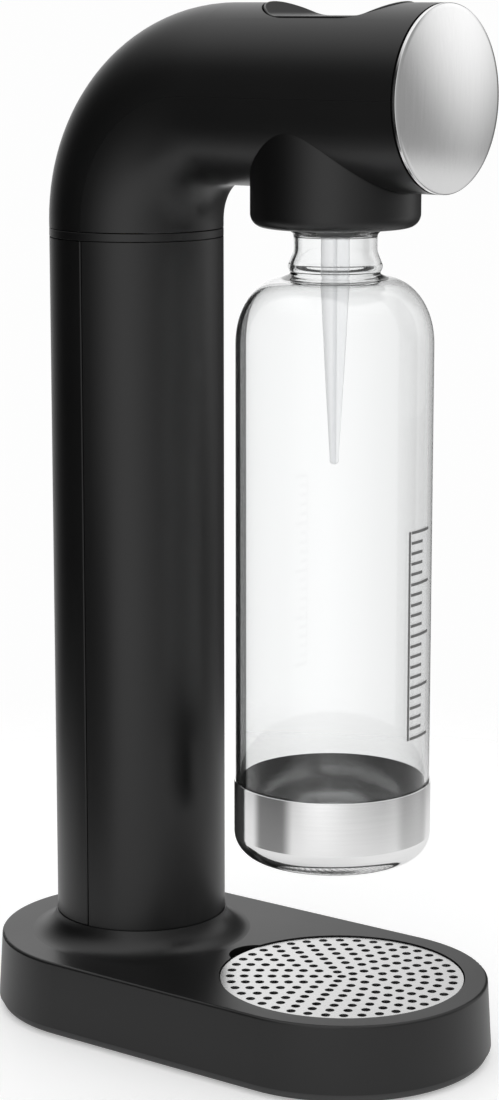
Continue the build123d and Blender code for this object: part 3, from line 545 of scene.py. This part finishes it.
def direction(degrees):
    """Level direction at a bearing."""
    back, right = bearing_axes()
    return back * math.cos(math.radians(degrees)) + right * math.sin(math.radians(degrees))


def make_card(number, bearing, distance, half_width, bottom, top, brightness, cover):
    """Upright card with a soft outline that only reflections show."""
    out = direction(bearing)
    side = Vector((-out.y, out.x, 0))
    middle = Vector((0, BOTTLE_Y, 0)) + out * distance
    ends = [middle - side * half_width, middle + side * half_width]
    corners = [end + Vector((0, 0, bottom)) for end in ends]
    corners += [end + Vector((0, 0, top)) for end in reversed(ends)]
    mesh = bpy.data.meshes.new(f"card_{number}")
    mesh.from_pydata([tuple(corner) for corner in corners], [], [(0, 1, 2, 3)])
    card = bpy.data.objects.new(f"card_{number}", mesh)
    bpy.context.scene.collection.objects.link(card)
    card.visible_camera = False
    card.visible_diffuse = False
    card.visible_shadow = False
    card.visible_transmission = False
    material, shader = new_material(f"soft_card_{number}")
    shader.inputs["Base Color"].default_value = grey(0.0)
    shader.inputs["Specular IOR Level"].default_value = 0.0
    shader.inputs["Emission Color"].default_value = grey(1.0)
    shader.inputs["Emission Strength"].default_value = brightness
    place = add_node(material, "ShaderNodeTexCoord").outputs["Object"]
    shift = {0: place, 1: tuple(middle)}
    from_middle = add_node(material, "ShaderNodeVectorMath", shift, operation="SUBTRACT").outputs["Vector"]
    spread = {0: from_middle, 1: tuple(side)}
    across = add_node(material, "ShaderNodeVectorMath", spread, operation="DOT_PRODUCT").outputs["Value"]
    off_centre = add_node(material, "ShaderNodeMath", {0: across}, operation="ABSOLUTE").outputs["Value"]
    sideways = soft_step(material, off_centre, half_width, half_width * CARD_CORE)
    height = add_node(material, "ShaderNodeSeparateXYZ", {"Vector": place}).outputs["Z"]
    upwards = soft_step(material, height, top, top - CARD_FADE)
    shape = add_node(material, "ShaderNodeMath", {0: sideways, 1: upwards}, operation="MULTIPLY")
    connect(material, remap(material, shape.outputs["Value"], 0.0, cover), shader.inputs["Alpha"])
    mesh.materials.append(material)


def make_world():
    """White surroundings to the eye, with the soft boxes and flags of a studio in what is reflected."""
    world = bpy.data.worlds.new("studio")
    bpy.context.scene.world = world
    world.use_nodes = True
    background = world.node_tree.nodes["Background"]
    way = add_node(world, "ShaderNodeTexCoord").outputs["Generated"]
    parts = add_node(world, "ShaderNodeSeparateXYZ", {"Vector": way})
    back, right = [
        add_node(world, "ShaderNodeVectorMath", {0: way, 1: axis}, operation="DOT_PRODUCT").outputs["Value"]
        for axis in bearing_axes()
    ]
    bearing = add_node(world, "ShaderNodeMath", {0: right, 1: back}, operation="ARCTAN2").outputs["Value"]
    whole_turn = {"Value": bearing, "From Min": -math.pi, "From Max": math.pi}
    turn = add_node(world, "ShaderNodeMapRange", whole_turn).outputs["Result"]
    ramp = add_node(world, "ShaderNodeValToRGB", {"Fac": turn})
    stops = ramp.color_ramp.elements
    stops[0].position, stops[0].color = 0.0, grey(HORIZON[0][1] / TOP)
    stops[1].position, stops[1].color = 1.0, grey(HORIZON[-1][1] / TOP)
    for degrees, strength in HORIZON[1:-1]:
        stops.new((degrees + 180) / 360).color = grey(strength / TOP)
    climb = soft_step(world, parts.outputs["Z"], TOP_FROM, 1.0)
    surround = mix_colour(world, climb, ramp.outputs["Color"], grey(1.0))
    lit = add_node(world, "ShaderNodeVectorMath", {0: surround, 1: (TOP, TOP, TOP)}, operation="MULTIPLY")
    for degrees, elevation, radius, strength in SOFT_BOXES:
        centre = direction(degrees) * math.cos(math.radians(elevation))
        centre.z = math.sin(math.radians(elevation))
        near = add_node(world, "ShaderNodeVectorMath", {0: way, 1: centre}, operation="DOT_PRODUCT")
        core = soft_step(world, near.outputs["Value"], math.cos(math.radians(radius)), 1.0)
        glow = remap(world, core, 0.0, strength)
        lit = add_node(world, "ShaderNodeVectorMath", {0: lit.outputs["Vector"], 1: glow}, operation="ADD")
    path = add_node(world, "ShaderNodeLightPath").outputs
    through = remap(world, path["Is Transmission Ray"], 0.0, SEEN_THROUGH)
    seen = add_node(world, "ShaderNodeMath", {0: path["Is Camera Ray"], 1: through}, operation="MAXIMUM")
    colour = mix_colour(world, seen.outputs["Value"], lit.outputs["Vector"], grey(SEEN_WHITE))
    connect(world, colour, background.inputs["Color"])


bpy.context.scene.view_settings.view_transform = "Standard"
make_floor()
make_world()
for number, card in enumerate(CARDS, 1):
    make_card(number, *card)
